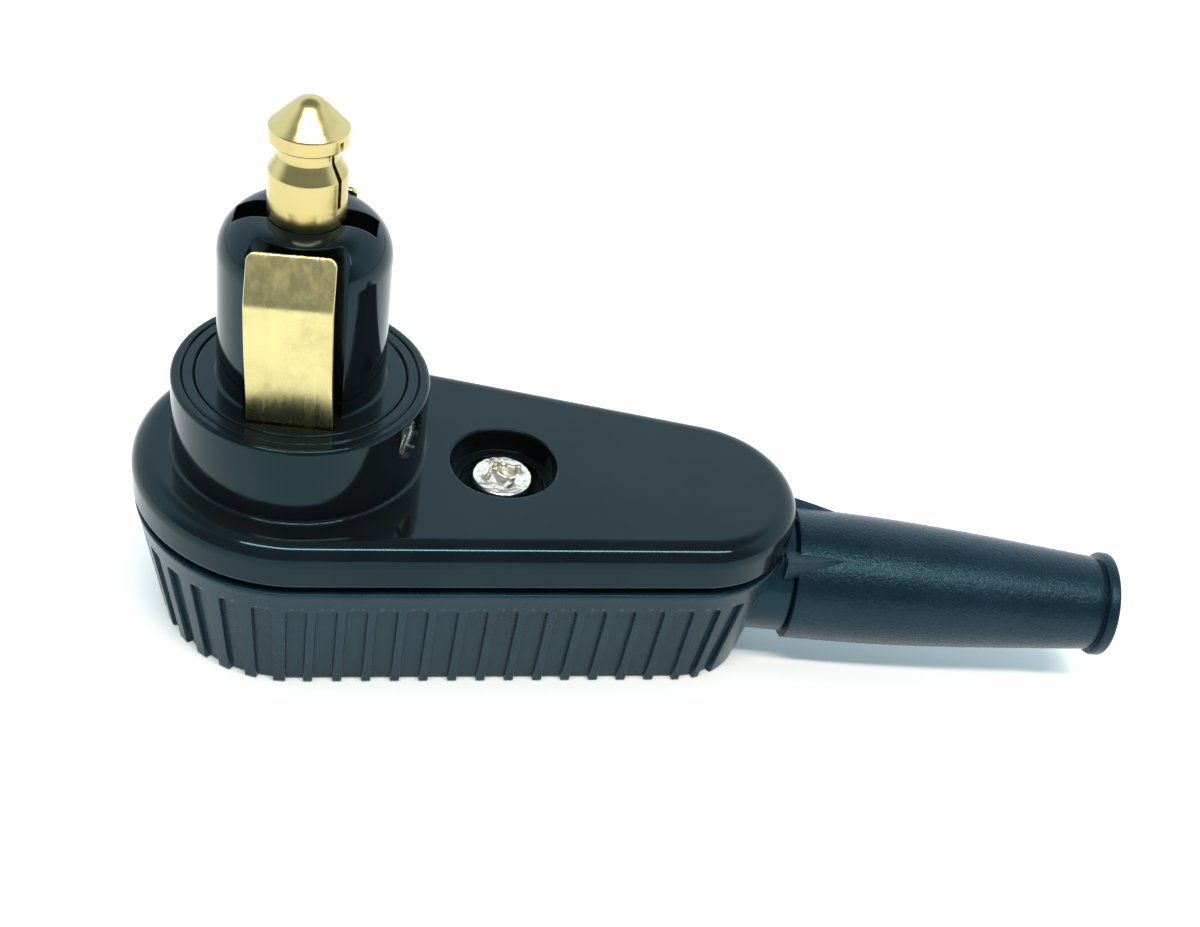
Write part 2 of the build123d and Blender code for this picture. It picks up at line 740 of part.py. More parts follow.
def fin_sections(side):
    """Two triangles to loft a side fin: its ridge stands out at the root and fades away."""
    inner = fin_foot_radius
    corners = (
        (inner, fin_angles[0]),
        (fin_ridge_radius, fin_ridge_angle),
        (inner, fin_angles[1]),
    )
    sections = []
    ends = ((fin_start, 1.0, fin_ridge_angle), (fin_end, fin_end_scale, fin_end_angle))
    for x, scale, middle_angle in ends:
        points = []
        for corner_radius, corner_angle in corners:
            radius = inner + (corner_radius - inner) * scale
            angle = radians(middle_angle + (corner_angle - fin_ridge_angle) * scale)
            points.append((side * radius * cos(angle), cable_z + radius * sin(angle)))
        with BuildSketch(Plane.YZ.offset(x)) as section:
            with BuildLine():
                Polyline(*points, close=True)
            make_face()
        sections.append(section.sketch)
    return sections


# ---- Cable boot, root half: grips the neck and carries the side fins ----
with BuildPart() as boot_root:
    with BuildSketch(boot_plane):
        add(boot_section())
        with Locations((flex_x, 0)):
            Circle(socket_radius, mode=Mode.SUBTRACT)
            Rectangle(30, 20, align=(Align.MIN, Align.CENTER), mode=Mode.SUBTRACT)
    revolve(axis=cable_axis)
    loft(fin_sections(-1))
    loft(fin_sections(1))
save(boot_root, "boot_root")

# ---- Cable boot, sleeve half: bends about the ball centre ----
with BuildPart() as boot_sleeve:
    with BuildSketch(boot_plane):
        with Locations((flex_x, 0)):
            Circle(ball_radius)
            Rectangle(30, 20, align=(Align.MIN, Align.CENTER))
        add(boot_section(), mode=Mode.INTERSECT)
    revolve(axis=cable_axis)
save(boot_sleeve, "boot_sleeve")
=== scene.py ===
"""Right-angle 12 V accessory plug: the looks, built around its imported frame."""

import json
import math

import bmesh
import bpy
from mathutils import Matrix, Vector, noise


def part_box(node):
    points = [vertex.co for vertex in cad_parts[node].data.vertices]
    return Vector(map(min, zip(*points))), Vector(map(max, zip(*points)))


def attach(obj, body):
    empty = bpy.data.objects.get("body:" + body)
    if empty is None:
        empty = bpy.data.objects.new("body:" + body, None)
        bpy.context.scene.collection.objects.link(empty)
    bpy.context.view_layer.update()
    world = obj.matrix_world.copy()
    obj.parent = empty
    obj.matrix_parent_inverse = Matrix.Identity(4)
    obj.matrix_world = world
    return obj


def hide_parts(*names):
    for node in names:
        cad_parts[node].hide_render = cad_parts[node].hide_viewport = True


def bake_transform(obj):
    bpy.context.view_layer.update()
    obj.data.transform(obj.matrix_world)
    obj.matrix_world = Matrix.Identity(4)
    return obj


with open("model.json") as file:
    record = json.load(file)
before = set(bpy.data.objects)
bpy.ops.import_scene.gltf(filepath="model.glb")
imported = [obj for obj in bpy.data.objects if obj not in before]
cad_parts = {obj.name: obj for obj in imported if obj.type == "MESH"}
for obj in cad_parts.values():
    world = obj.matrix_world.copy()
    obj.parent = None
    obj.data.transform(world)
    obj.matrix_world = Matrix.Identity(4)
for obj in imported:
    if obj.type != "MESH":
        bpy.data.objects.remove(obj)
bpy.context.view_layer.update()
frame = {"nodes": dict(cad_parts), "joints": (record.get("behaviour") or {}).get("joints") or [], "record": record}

MM = 0.001

# ---- Places and sizes read from the frame, in millimetres ----


def corners(node):
    """Lowest and highest corner of a CAD node, in millimetres."""
    low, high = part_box(node)
    return low / MM, high / MM


tub_low, tub_high = corners("lower_housing")
lid_low, lid_high = corners("upper_housing")
sleeve_low, sleeve_high = corners("boot_sleeve")
root_low = corners("boot_root")[0]
screw_low, screw_high = corners("casing_screw")
pin_low, pin_high = corners("centre_pin")
joint_at = {j["name"]: Vector(j["pos_m"]) / MM for j in frame["joints"]}

# ---- Casing outline: a teardrop round two circles ----
END_SPACING = 29.0
SCREW_X = (screw_low.x + screw_high.x) / 2
LID_RADIUS = -lid_low.y
SMALL_STEP = LID_RADIUS - (lid_high.x - END_SPACING)
RIM_RADIUS = -tub_low.y
BASE_RADIUS = 9.95
BASE_EDGE = 0.3
BASE_INSET = 1.4
RIM_HEIGHT = 10.75
RIM_EDGE = 0.16
LIP_TOP = tub_high.z
LIP_RADIUS = 10.7
LIP_EDGE = 0.2
MOUTH_RADIUS = 9.9
FLOOR_TOP = 1.6
FLANK_ANGLE = math.asin(SMALL_STEP / END_SPACING)

SIDE_FLUTES = 38
SIDE_PITCH = 2.146
END_FLUTES = 15
FLUTE_HALF_WIDTH = 0.77
FLUTE_DEPTH = 0.4
FLUTE_CORNER = 0.35
FLUTE_TOP = 8.87
FIRST_FLUTE = -0.196
FLUTE_WALL = 0.08
# Where the wall has columns beside each flute's middle, and how closely rings follow its top
FLUTE_OFFSETS = (0.2, 0.38, 0.48, 0.56, 0.62, 0.66, 0.69, 0.72, 0.75, 0.78, 0.82, 0.88)
FLUTE_TOP_BELOW = 0.12
FLUTE_TOP_ABOVE = 0.07
FLUTE_TOP_STEP = 0.045
NO_FLUTE = 99.0
WALL_HEIGHTS = (1.0, 2.5, 4.0, 5.5, 7.0, 8.0)
PLAIN_HEIGHTS = (9.3, 10.2)

CABLE_Z = (sleeve_low.z + sleeve_high.z) / 2
NECK_RADIUS = 4.5
NECK_BORE = 2.8
NECK_START = 34.0
NECK_END = 37.35
NECK_EDGE = 0.22
SPIGOT_END = tub_high.x
SPIGOT_RADIUS = 4.0
CABLE_BORE = 2.6

# The neck is cut flat under the lid, at this height above the lid's lowest edge
NECK_FLAT = 2.65
NECK_FLAT_REACH = 0.05

POST_BORE = 2.3
POST_BORE_STEP = 4.2
POST_TOP = 8.7
POST_RADIUS = 3.6
POST_EDGE = 0.2
CLAMP_POST_X = 26.0
CLAMP_POST_Y = 4.0
CLAMP_POST_BORE = 1.03
CLAMP_POST_RADIUS = 1.5
CLAMP_POST_TOP = 9.72


# ---- Mesh helpers ----


def new_piece(name, points, faces, sharp_degrees=35):
    """A mesh object from points in millimetres, smooth but for its sharp edges."""
    mesh = bpy.data.meshes.new(name)
    mesh.from_pydata([Vector(p) * MM for p in points], [], faces)
    work = bmesh.new()
    work.from_mesh(mesh)
    bmesh.ops.remove_doubles(work, verts=work.verts, dist=1e-7)
    bmesh.ops.recalc_face_normals(work, faces=work.faces)
    work.to_mesh(mesh)
    work.free()
    mesh.shade_smooth()
    mesh.set_sharp_from_angle(angle=math.radians(sharp_degrees))
    piece = bpy.data.objects.new(name, mesh)
    bpy.context.scene.collection.objects.link(piece)
    return piece


def skin(rings, loop=False):
    """Points and faces between closed rings; ends are capped unless the rings loop."""
    count = len(rings[0])
    points = [p for ring in rings for p in ring]
    faces = []
    spans = len(rings) if loop else len(rings) - 1
    for row in range(spans):
        a = row * count
        b = (row + 1) % len(rings) * count
        for col in range(count):
            side = (col + 1) % count
            faces.append((a + col, a + side, b + side, b + col))
    if not loop:
        faces.append(tuple(reversed(range(count))))
        faces.append(tuple(range((len(rings) - 1) * count, len(rings) * count)))
    return points, faces


def join_shells(*shells):
    """One list of points and faces from several."""
    points, faces = [], []
    for shell_points, shell_faces in shells:
        start = len(points)
        points += shell_points
        faces += [tuple(start + i for i in face) for face in shell_faces]
    return points, faces


def lathe(profile, place, segments=96, loop=True):
    """Turn (radius, height) points about an axis; place maps (x, y, height) to the frame."""
    rings = []
    for radius, height in profile:
        ring = []
        for step in range(segments):
            angle = 2 * math.pi * step / segments
            ring.append(place(radius * math.cos(angle), radius * math.sin(angle), height))
        rings.append(ring)
    return skin(rings, loop)


def upright(x, y):
    """Places a lathe on the vertical axis through (x, y)."""
    return lambda a, b, h: (x + a, y + b, h)


def along_cable(a, b, h):
    """Places a lathe on the cable's axis, its height along X."""
    return (h, a, CABLE_Z + b)


def rounded(profile, radius, steps=4):
    """Round every inner corner of an open (radius, height) profile."""
    out = [profile[0]]
    for before, corner, after in zip(profile, profile[1:], profile[2:]):
        here = Vector(corner)
        back = Vector(before) - here
        ahead = Vector(after) - here
        reach = min(radius, back.length * 0.45, ahead.length * 0.45)
        start = here + back.normalized() * reach
        end = here + ahead.normalized() * reach
        for step in range(steps + 1):
            t = step / steps
            out.append(tuple((1 - t) ** 2 * start + 2 * t * (1 - t) * here + t * t * end))
    out.append(profile[-1])
    return out


def smooth_step(t):
    """0 below 0, 1 above 1, eased in between."""
    t = min(max(t, 0.0), 1.0)
    return t * t * t * (t * (6 * t - 15) + 10)


def curve_value(table, x):
    """Smooth value at x through (x, value) pairs."""
    slopes = [(b[1] - a[1]) / (b[0] - a[0]) for a, b in zip(table, table[1:])]
    ends = [slopes[0]] + [(a + b) / 2 for a, b in zip(slopes, slopes[1:])] + [slopes[-1]]
    for k, ((x0, v0), (x1, v1)) in enumerate(zip(table, table[1:])):
        if x <= x1 or k == len(slopes) - 1:
            t = min(max((x - x0) / (x1 - x0), 0.0), 1.0)
            rise, fall = ends[k] * (x1 - x0), ends[k + 1] * (x1 - x0)
            return (
                v0 * (2 * t**3 - 3 * t**2 + 1) + rise * (t**3 - 2 * t**2 + t)
                + v1 * (3 * t**2 - 2 * t**3) + fall * (t**3 - t**2)
            )
    return table[-1][1]


# ---- Materials ----


def add_node(tree, kind, inputs, **settings):
    """A new shader node whose inputs are sockets to link or plain values."""
    made = tree.nodes.new("ShaderNode" + kind)
    for key, value in settings.items():
        setattr(made, key, value)
    for key, value in inputs.items():
        if isinstance(value, bpy.types.NodeSocket):
            tree.links.new(value, made.inputs[key])
        else:
            made.inputs[key].default_value = value
    return made


BEVEL_SAMPLES = 6
PLASTIC_IOR = 1.39
PLASTIC_GLINT = (0.34, 0.82, 1.0, 1.0)
RUBBER_IOR = 1.43
RUBBER_GLINT = (0.34, 0.78, 1.0, 1.0)
FIBRE_IOR = 1.45
WORN_PLATE = (0.24, 0.22, 0.17, 1.0)
METAL_EDGE = 0.00006


class Shader:
    """A material with one Principled shader and short calls for its nodes."""

    def __init__(self, name, **values):
        self.material = bpy.data.materials.new(name)
        self.material.use_nodes = True
        self.tree = self.material.node_tree
        self.shader = self.tree.nodes["Principled BSDF"]
        for socket, value in values.items():
            self.shader.inputs[socket.replace("_", " ")].default_value = value
        self.place = self.tree.nodes.new("ShaderNodeTexCoord").outputs["Object"]

    def node(self, kind, inputs, **settings):
        return add_node(self.tree, kind, inputs, **settings)

    def stretched(self, scale):
        """Object coordinates stretched along each axis."""
        return self.node("Mapping", {"Vector": self.place, "Scale": scale}).outputs[0]

    def noise(self, scale, detail=2.0, roughness=0.5, vector=None):
        made = self.node("TexNoise", {
            "Vector": vector or self.place,
            "Scale": scale,
            "Detail": detail,
            "Roughness": roughness,
        })
        return made.outputs["Fac"]

    def span(self, value, low, high, to_low, to_high):
        """Map value from low..high to to_low..to_high, clamped."""
        made = self.node("MapRange", {
            "Value": value, "From Min": low, "From Max": high,
            "To Min": to_low, "To Max": to_high,
        })
        return made.outputs[0]

    def sum(self, a, b):
        return self.node("Math", {0: a, 1: b}, operation="ADD").outputs[0]

    def product(self, a, b):
        return self.node("Math", {0: a, 1: b}, operation="MULTIPLY").outputs[0]

    def mix(self, share, a, b):
        made = self.node("Mix", {}, data_type="RGBA")
        for socket, value in (("Factor", share), ("A", a), ("B", b)):
            wanted = "VALUE" if socket == "Factor" else "RGBA"
            target = next(i for i in made.inputs if i.name == socket and i.type == wanted)
            if isinstance(value, bpy.types.NodeSocket):
                self.tree.links.new(value, target)
            else:
                target.default_value = value
        return next(o for o in made.outputs if o.type == "RGBA")

    def bump(self, height, depth, strength=1.0, normal=None):
        inputs = {"Height": height, "Distance": depth, "Strength": strength}
        if normal is not None:
            inputs["Normal"] = normal
        return self.node("Bump", inputs).outputs[0]

    def soft_edges(self, radius):
        """Normal rounded over edges by that radius in metres."""
        return self.node("Bevel", {"Radius": radius}, samples=BEVEL_SAMPLES).outputs[0]

    def set(self, socket, value):
        self.tree.links.new(value, self.shader.inputs[socket])


def opaque(colour):
    """An RGB colour as the RGBA that a socket takes."""
    return tuple(colour) + (1.0,)


def black_plastic(name, tint, roughness, peel, grain, edge):
    """Moulded black plastic: slight gloss patches, hairline scuffs and soft edges."""
    s = Shader(name, IOR=PLASTIC_IOR, Specular_Tint=PLASTIC_GLINT)
    patches = s.noise(130, 3)
    lighter = opaque(c * 1.7 for c in tint)
    s.set("Base Color", s.mix(s.span(patches, 0.35, 0.7, 0, 1), opaque(tint), lighter))
    scuffs = s.noise(900, 4, 0.7, s.stretched((1, 0.12, 1)))
    fine = s.span(scuffs, 0.56, 0.72, 0.0, 0.06)
    broad = s.span(patches, 0.3, 0.75, roughness * 0.8, roughness * 1.35)
    s.set("Roughness", s.sum(broad, fine))
    height = s.sum(s.product(s.noise(420, 1), 1.0), s.product(s.noise(5200, 2), grain))
    s.set("Normal", s.bump(height, peel, 1.0, s.soft_edges(edge)))
    return s.material


def rubber(name, tint):
    """Moulded elastomer with the fine eroded texture of its tool."""
    s = Shader(name, IOR=RUBBER_IOR, Specular_Tint=RUBBER_GLINT)
    patches = s.noise(160, 3)
    lighter = opaque(c * 1.8 for c in tint)
    s.set("Base Color", s.mix(s.span(patches, 0.3, 0.75, 0, 1), opaque(tint), lighter))
    grain = s.noise(4300, 3, 0.6)
    s.set("Roughness", s.span(grain, 0.35, 0.7, 0.24, 0.36))
    s.set("Normal", s.bump(s.sum(grain, s.product(s.noise(900, 1), 0.4)), 0.00005))
    return s.material


def brass(name, tint, dull, roughness, stretch, scratch_depth):
    """Brass with drawing or turning lines along one direction and a little tarnish."""
    s = Shader(name, Metallic=1.0)
    cloud = s.noise(240, 4, 0.6)
    speck = s.noise(1500, 3, 0.7)
    tarnish = s.product(
        s.span(cloud, 0.48, 0.78, 0.0, 0.8), s.span(speck, 0.35, 0.65, 0.3, 1.0)
    )
    s.set("Base Color", s.mix(tarnish, opaque(tint), opaque(dull)))
    lines = s.noise(1500, 3, 0.6, s.stretched(stretch))
    drawn = s.span(lines, 0.3, 0.7, roughness * 0.75, roughness * 1.3)
    s.set("Roughness", s.sum(drawn, s.product(tarnish, 0.2)))
    s.set("Normal", s.bump(lines, scratch_depth, 1.0, s.soft_edges(METAL_EDGE)))
    return s.material


def plated(name, tint, roughness):
    """Bright plated metal with tool marks and dull specks."""
    s = Shader(name, Metallic=1.0)
    specks = s.noise(2600, 4, 0.7)
    worn = s.span(specks, 0.5, 0.72, 0.0, 0.7)
    s.set("Base Color", s.mix(worn, opaque(tint), WORN_PLATE))
    s.set("Roughness", s.span(specks, 0.35, 0.7, roughness * 0.7, roughness * 2.0))
    s.set("Normal", s.bump(s.noise(1900, 3, 0.6), 0.00003, 1.0, s.soft_edges(METAL_EDGE)))
    return s.material


def fibre_sheet(name):
    """Red-brown vulcanised fibre with a faint fibrous mottle."""
    s = Shader(name, IOR=FIBRE_IOR)
    fibres = s.noise(900, 5, 0.7, s.stretched((0.2, 1, 1)))
    s.set("Base Color", s.mix(fibres, (0.20, 0.06, 0.03, 1), (0.34, 0.13, 0.07, 1)))
    s.set("Roughness", s.span(fibres, 0.3, 0.7, 0.5, 0.7))
    s.set("Normal", s.bump(fibres, 0.00004))
    return s.material


# tint, roughness, mould ripple's depth, grain's share of it, edge radius in metres
MATERIALS = {
    "casing_gloss": black_plastic(
        "GlossCasing", (0.0035, 0.0045, 0.005), 0.08, 0.000012, 0.02, 0.00010
    ),
    "casing_satin": black_plastic(
        "SatinCasing", (0.005, 0.015, 0.023), 0.26, 0.00003, 0.25, 0.00006
    ),
    "ring_gloss": black_plastic("RingPlastic", (0.004, 0.005, 0.006), 0.16, 0.00001, 0.06, 0.00006),
    "nose_gloss": black_plastic(
        "NosePlastic", (0.003, 0.004, 0.0045), 0.09, 0.000010, 0.02, 0.00012
    ),
    # tint, tarnish, roughness, stretch of the drawing lines, their depth in metres
    "pin_brass": brass(
        "TurnedBrass", (0.60, 0.49, 0.21), (0.42, 0.27, 0.11), 0.2, (0.02, 0.02, 1), 0.000012
    ),
    "contact_brass": brass(
        "StripBrass", (0.68, 0.59, 0.27), (0.48, 0.37, 0.17), 0.24, (1, 1, 0.03), 0.000012
    ),
    "rivet_brass": brass(
        "RivetBrass", (0.80, 0.68, 0.36), (0.45, 0.34, 0.13), 0.25, (1, 1, 1), 0.00001
    ),
    "terminal_brass": brass(
        "CutBrass", (0.78, 0.64, 0.32), (0.42, 0.32, 0.12), 0.3, (1, 0.05, 1), 0.00002
    ),
    "zinc_steel": plated("ZincSteel", (0.62, 0.63, 0.62), 0.22),
    "nickel_screw": plated("Nickel", (0.90, 0.86, 0.76), 0.13),
    "divider_fibre": fibre_sheet("Fibre"),
    "clamp_nylon": black_plastic("ClampNylon", (0.02, 0.02, 0.022), 0.35, 0.00003, 0.2, 0.0001),
    "boot_rubber": rubber("BootElastomer", (0.003, 0.009, 0.016)),
}
for entry in frame["record"]["subparts"]:
    part = frame["nodes"][entry["node"]]
    part.data.materials.clear()
    part.data.materials.append(MATERIALS[entry["material_slot"]])


def place_piece(piece, body, slot, *nodes):
    """Give a piece its finish, let it ride on a body and stand for CAD nodes."""
    piece.data.materials.append(MATERIALS[slot])
    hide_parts(*nodes)
    if body:
        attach(piece, body)
    return piece


# ---- Lower casing: tapered tub with rounded flutes ----


def tub_radius(z):
    """Radius of the tub's big end at height z."""
    return BASE_RADIUS + (RIM_RADIUS - BASE_RADIUS) * z / RIM_HEIGHT


def outline_columns():
    """(base point, outward direction, flute offset) for each column round the rim."""
    small_rim = RIM_RADIUS - SMALL_STEP
    flank = END_SPACING * math.cos(FLANK_ANGLE)
    small_arc = small_rim * (math.pi - 2 * FLANK_ANGLE)
    big_arc = RIM_RADIUS * (math.pi + 2 * FLANK_ANGLE)
    perimeter = 2 * flank + small_arc + big_arc
    tilt = math.pi / 2 - FLANK_ANGLE
    side_run = (SIDE_FLUTES - 1) * SIDE_PITCH
    end_pitch = (perimeter - side_run) / (END_FLUTES + 1)
    middles = [FIRST_FLUTE + k * SIDE_PITCH for k in range(SIDE_FLUTES)]
    middles += [middles[-1] + (k + 1) * end_pitch for k in range(END_FLUTES)]
    before = [-k for k in reversed(FLUTE_OFFSETS)]
    columns = []
    for index, middle in enumerate(middles):
        half_pitch = (SIDE_PITCH if index < SIDE_FLUTES - 1 else end_pitch) / 2
        for offset in before + [0.0, *FLUTE_OFFSETS, half_pitch]:
            s = (middle + offset) % perimeter
            along = 0.0
            if s < flank:
                angle, centre, along = -tilt, 0.0, s
            elif s < flank + small_arc:
                angle, centre = -tilt + (s - flank) / small_rim, END_SPACING
            elif s < 2 * flank + small_arc:
                angle, centre, along = tilt, END_SPACING, s - flank - small_arc
            else:
                angle, centre = tilt + (s - 2 * flank - small_arc) / RIM_RADIUS, 0.0
            out = Vector((math.cos(angle), math.sin(angle), 0))
            ahead = Vector((-out.y, out.x, 0))
            base = Vector((centre, 0, 0)) + ahead * along
            if centre:
                base -= out * SMALL_STEP
            columns.append((base, out, offset, index))
    plain = set()
    for base, out, offset, index in columns:
        middle = base + out * RIM_RADIUS
        behind_neck = abs(middle.y) < NECK_RADIUS + FLUTE_HALF_WIDTH
        if middle.x > END_SPACING and behind_neck and offset == 0:
            plain.add(index)
    return [
        (base, out, NO_FLUTE if index in plain else offset)
        for base, out, offset, index in columns
    ]


def flute_depth(offset, z):
    """How far the wall is sunk at that distance from a flute's middle and height."""
    side = abs(offset) - FLUTE_HALF_WIDTH + FLUTE_CORNER
    top = z - FLUTE_TOP + FLUTE_CORNER
    outside = math.hypot(max(side, 0), max(top, 0)) + min(max(side, top), 0) - FLUTE_CORNER
    return FLUTE_DEPTH * smooth_step(-outside / FLUTE_WALL)


def lower_casing():
    """The tub with its neck, spigot, screw post and clamp posts."""
    columns = outline_columns()
    rings = []

    def ring(radius, z, sunk=None):
        rings.append([
            (base + out * (radius - (flute_depth(offset, sunk) if sunk is not None else 0)))
            + Vector((0, 0, z))
            for base, out, offset in columns
        ])

    ring(BASE_RADIUS - BASE_INSET, 0)
    for step in range(6):
        turn = math.pi / 2 * step / 5
        z = BASE_EDGE - BASE_EDGE * math.cos(turn)
        ring(tub_radius(BASE_EDGE) - BASE_EDGE + BASE_EDGE * math.sin(turn), z, z)
    for z in WALL_HEIGHTS:
        ring(tub_radius(z), z, z)
    z = FLUTE_TOP - FLUTE_CORNER - FLUTE_TOP_BELOW
    while z < FLUTE_TOP + FLUTE_TOP_ABOVE:
        ring(tub_radius(z), z, z)
        z += FLUTE_TOP_STEP
    for z in PLAIN_HEIGHTS:
        ring(tub_radius(z), z)
    for step in range(5):
        turn = math.pi / 2 * step / 4
        z = RIM_HEIGHT - RIM_EDGE + RIM_EDGE * math.sin(turn)
        ring(tub_radius(RIM_HEIGHT) - RIM_EDGE + RIM_EDGE * math.cos(turn), z)
    ring(LIP_RADIUS, RIM_HEIGHT)
    ring(LIP_RADIUS, LIP_TOP - LIP_EDGE)
    ring(LIP_RADIUS - LIP_EDGE, LIP_TOP)
    ring(MOUTH_RADIUS, LIP_TOP)
    ring(MOUTH_RADIUS, RIM_HEIGHT)
    ring(MOUTH_RADIUS - tub_radius(RIM_HEIGHT) + tub_radius(FLOOR_TOP), FLOOR_TOP)
    tub = skin(rings)

    neck_profile = rounded([
        (NECK_BORE, NECK_START), (NECK_RADIUS, NECK_START), (NECK_RADIUS, NECK_END),
        (SPIGOT_RADIUS, NECK_END), (SPIGOT_RADIUS, SPIGOT_END), (NECK_BORE, SPIGOT_END),
    ], NECK_EDGE)
    neck_points, neck_faces = lathe(neck_profile, along_cable)
    flat = lid_low.z + NECK_FLAT
    neck_points = [
        (x, y, min(z, flat) if x < lid_high.x + NECK_FLAT_REACH else z)
        for x, y, z in neck_points
    ]
    shells = [tub, (neck_points, neck_faces)]
    post = rounded([
        (POST_BORE, POST_BORE_STEP), (POST_BORE, POST_TOP), (POST_RADIUS, POST_TOP),
        (POST_RADIUS, FLOOR_TOP),
    ], POST_EDGE)
    shells.append(lathe([(POST_BORE, FLOOR_TOP)] + post, upright(SCREW_X, 0), 48))
    clamp_post = [
        (CLAMP_POST_BORE, FLOOR_TOP), (CLAMP_POST_BORE, CLAMP_POST_TOP),
        (CLAMP_POST_RADIUS, CLAMP_POST_TOP), (CLAMP_POST_RADIUS, FLOOR_TOP),
    ]
    for y in (-CLAMP_POST_Y, CLAMP_POST_Y):
        shells.append(lathe(clamp_post, upright(CLAMP_POST_X, y), 32))
    return new_piece("fluted_casing", *join_shells(*shells))


place_piece(lower_casing(), "casing", "casing_satin", "lower_housing")

# ---- Cable boot: one sleeve over both halves ----
BOOT_TAPER = ((37.45, 5.0), (44.0, 4.85), (50.0, 4.5), (56.0, 4.0), (61.05, 3.55))
BEAD_START = 61.12
BEAD_RADIUS = 3.95
FIN_ANGLE = 47.0
FIN_END_ANGLE = 56.0
FIN_HALF_ANGLE = 13.0
FIN_RIDGE = 5.95
FIN_LENGTH = 4.9
FIN_STEPS = 14
FIN_SHARES = (-1, -0.75, -0.5, -0.25, -0.1, -0.03, 0.03, 0.1, 0.25, 0.5, 0.75, 1)
FIN_SUNK = 0.35
GRIP_GAP = 0.03
BARB_START = 39.7
BARB_END = 40.9
BARB_RADIUS = 4.33
OUTER_STEP = 0.35
INNER_STEP = 0.5


def boot_profile():
    """Closed (radius, x) outline of the boot's wall."""
    start, tip = BOOT_TAPER[0][0], sleeve_high.x
    root_radius, tip_radius = BOOT_TAPER[0][1], BOOT_TAPER[-1][1]
    outer = [(root_radius - 0.12, start), (root_radius - 0.03, start + 0.05)]
    x = start + 0.16
    while x < BOOT_TAPER[-1][0]:
        outer.append((curve_value(BOOT_TAPER, x), x))
        x += OUTER_STEP
    bead = rounded([
        (tip_radius - 0.1, BOOT_TAPER[-1][0]), (tip_radius - 0.12, BEAD_START),
        (BEAD_RADIUS, BEAD_START + 0.08), (BEAD_RADIUS, tip), (3.42, tip), (3.36, tip - 0.14),
        (3.20, tip - 0.14), (3.14, tip), (CABLE_BORE, tip), (CABLE_BORE, tip - 1),
    ], 0.3)
    inner = []
    x = tip - 1.5
    while x > SPIGOT_END + 0.4:
        inner.append((CABLE_BORE, x))
        x -= INNER_STEP
    grip, step_x = SPIGOT_RADIUS + GRIP_GAP, SPIGOT_END + 0.05
    inner += [
        (CABLE_BORE, step_x), (grip, step_x), (grip, BARB_END), (BARB_RADIUS, BARB_END),
        (BARB_RADIUS, BARB_START), (grip, BARB_START), (grip, start),
    ]
    return outer + bead + inner


def boot_fin(side):
    """A wedge on the boot's shoulder that stands out at the root and fades away."""
    foot = NECK_RADIUS + 0.2
    rings = []
    for step in range(FIN_STEPS + 1):
        t = step / FIN_STEPS
        x = root_low.x + FIN_LENGTH * t
        scale = 1 - 0.93 * t**1.15
        middle = FIN_ANGLE + (FIN_END_ANGLE - FIN_ANGLE) * t
        ring = []
        for share in FIN_SHARES:
            width = FIN_HALF_ANGLE * (0.35 + 0.65 * scale)
            angle = math.radians(middle + share * width)
            rise = 1 - abs(share) ** 0.92
            radius = foot + (FIN_RIDGE - foot) * rise * scale
            ring.append((x, side * radius * math.cos(angle), CABLE_Z + radius * math.sin(angle)))
        for share in (0.5, 0, -0.5):
            angle = math.radians(middle + share * FIN_HALF_ANGLE)
            radius = foot - FIN_SUNK
            ring.append((x, side * radius * math.cos(angle), CABLE_Z + radius * math.sin(angle)))
        rings.append(ring)
    return skin(rings)


sleeve = lathe(boot_profile(), along_cable, 160)
boot = place_piece(
    new_piece("cable_boot", *join_shells(sleeve, boot_fin(-1), boot_fin(1)), 40),
    None, "boot_rubber", "boot_root", "boot_sleeve",
)
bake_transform(boot)

# ---- Casing screw: domed head with a worn cross recess ----
HEAD_RADIUS = screw_high.y
SCREW_SEAT = 12.0
SHANK_RADIUS = 1.45
RECESS_TURN = math.radians(28)
HEAD_CROWN = 0.12
HEAD_EDGE = 0.28
HEAD_EDGE_DROP = 0.3
HEAD_UNDER = 12.9
CROSS_REACH = 1.6
CROSS_HALF = 0.36
CROSS_WEB = 1.45
CROSS_DEPTH = 1.35
CROSS_DEEPEST = 1.2
WEAR_REACH = 1.8
BURR_HEIGHT = 0.05
DENT_DEPTH = 0.03
SEGMENTS = 168
SCREW_TIP = 0.4


def head_height(x, y):
    """Height of the screw head's top at (x, y) from its axis."""
    r = math.hypot(x, y)
    top = screw_high.z - HEAD_CROWN * (r / HEAD_RADIUS) ** 2
    rim = HEAD_RADIUS - r
    top -= HEAD_EDGE_DROP * (1 - min(rim / HEAD_EDGE, 1.0)) ** 2.2
    u = abs(x * math.cos(RECESS_TURN) + y * math.sin(RECESS_TURN))
    v = abs(y * math.cos(RECESS_TURN) - x * math.sin(RECESS_TURN))
    one_arm = max(u - CROSS_REACH, v - CROSS_HALF)
    other_arm = max(v - CROSS_REACH, u - CROSS_HALF)
    web = (u + v - CROSS_WEB) * 0.7
    inside = -min(one_arm, other_arm, web)
    depth = min(CROSS_DEPTH - 0.5 * r, CROSS_DEEPEST)
    cut = smooth_step((inside + 0.03) / 0.15) * depth
    burr = BURR_HEIGHT * math.exp(-((inside + 0.1) / 0.07) ** 2) if r < WEAR_REACH else 0
    dents = noise.noise(Vector((x * 2.6, y * 2.6, 7.0))) * min(rim / 0.5, 1)
    ragged = 0.4 + noise.noise(Vector((x * 3, y * 3, 1.0)))
    return top - cut + burr * ragged + DENT_DEPTH * dents - 0.04


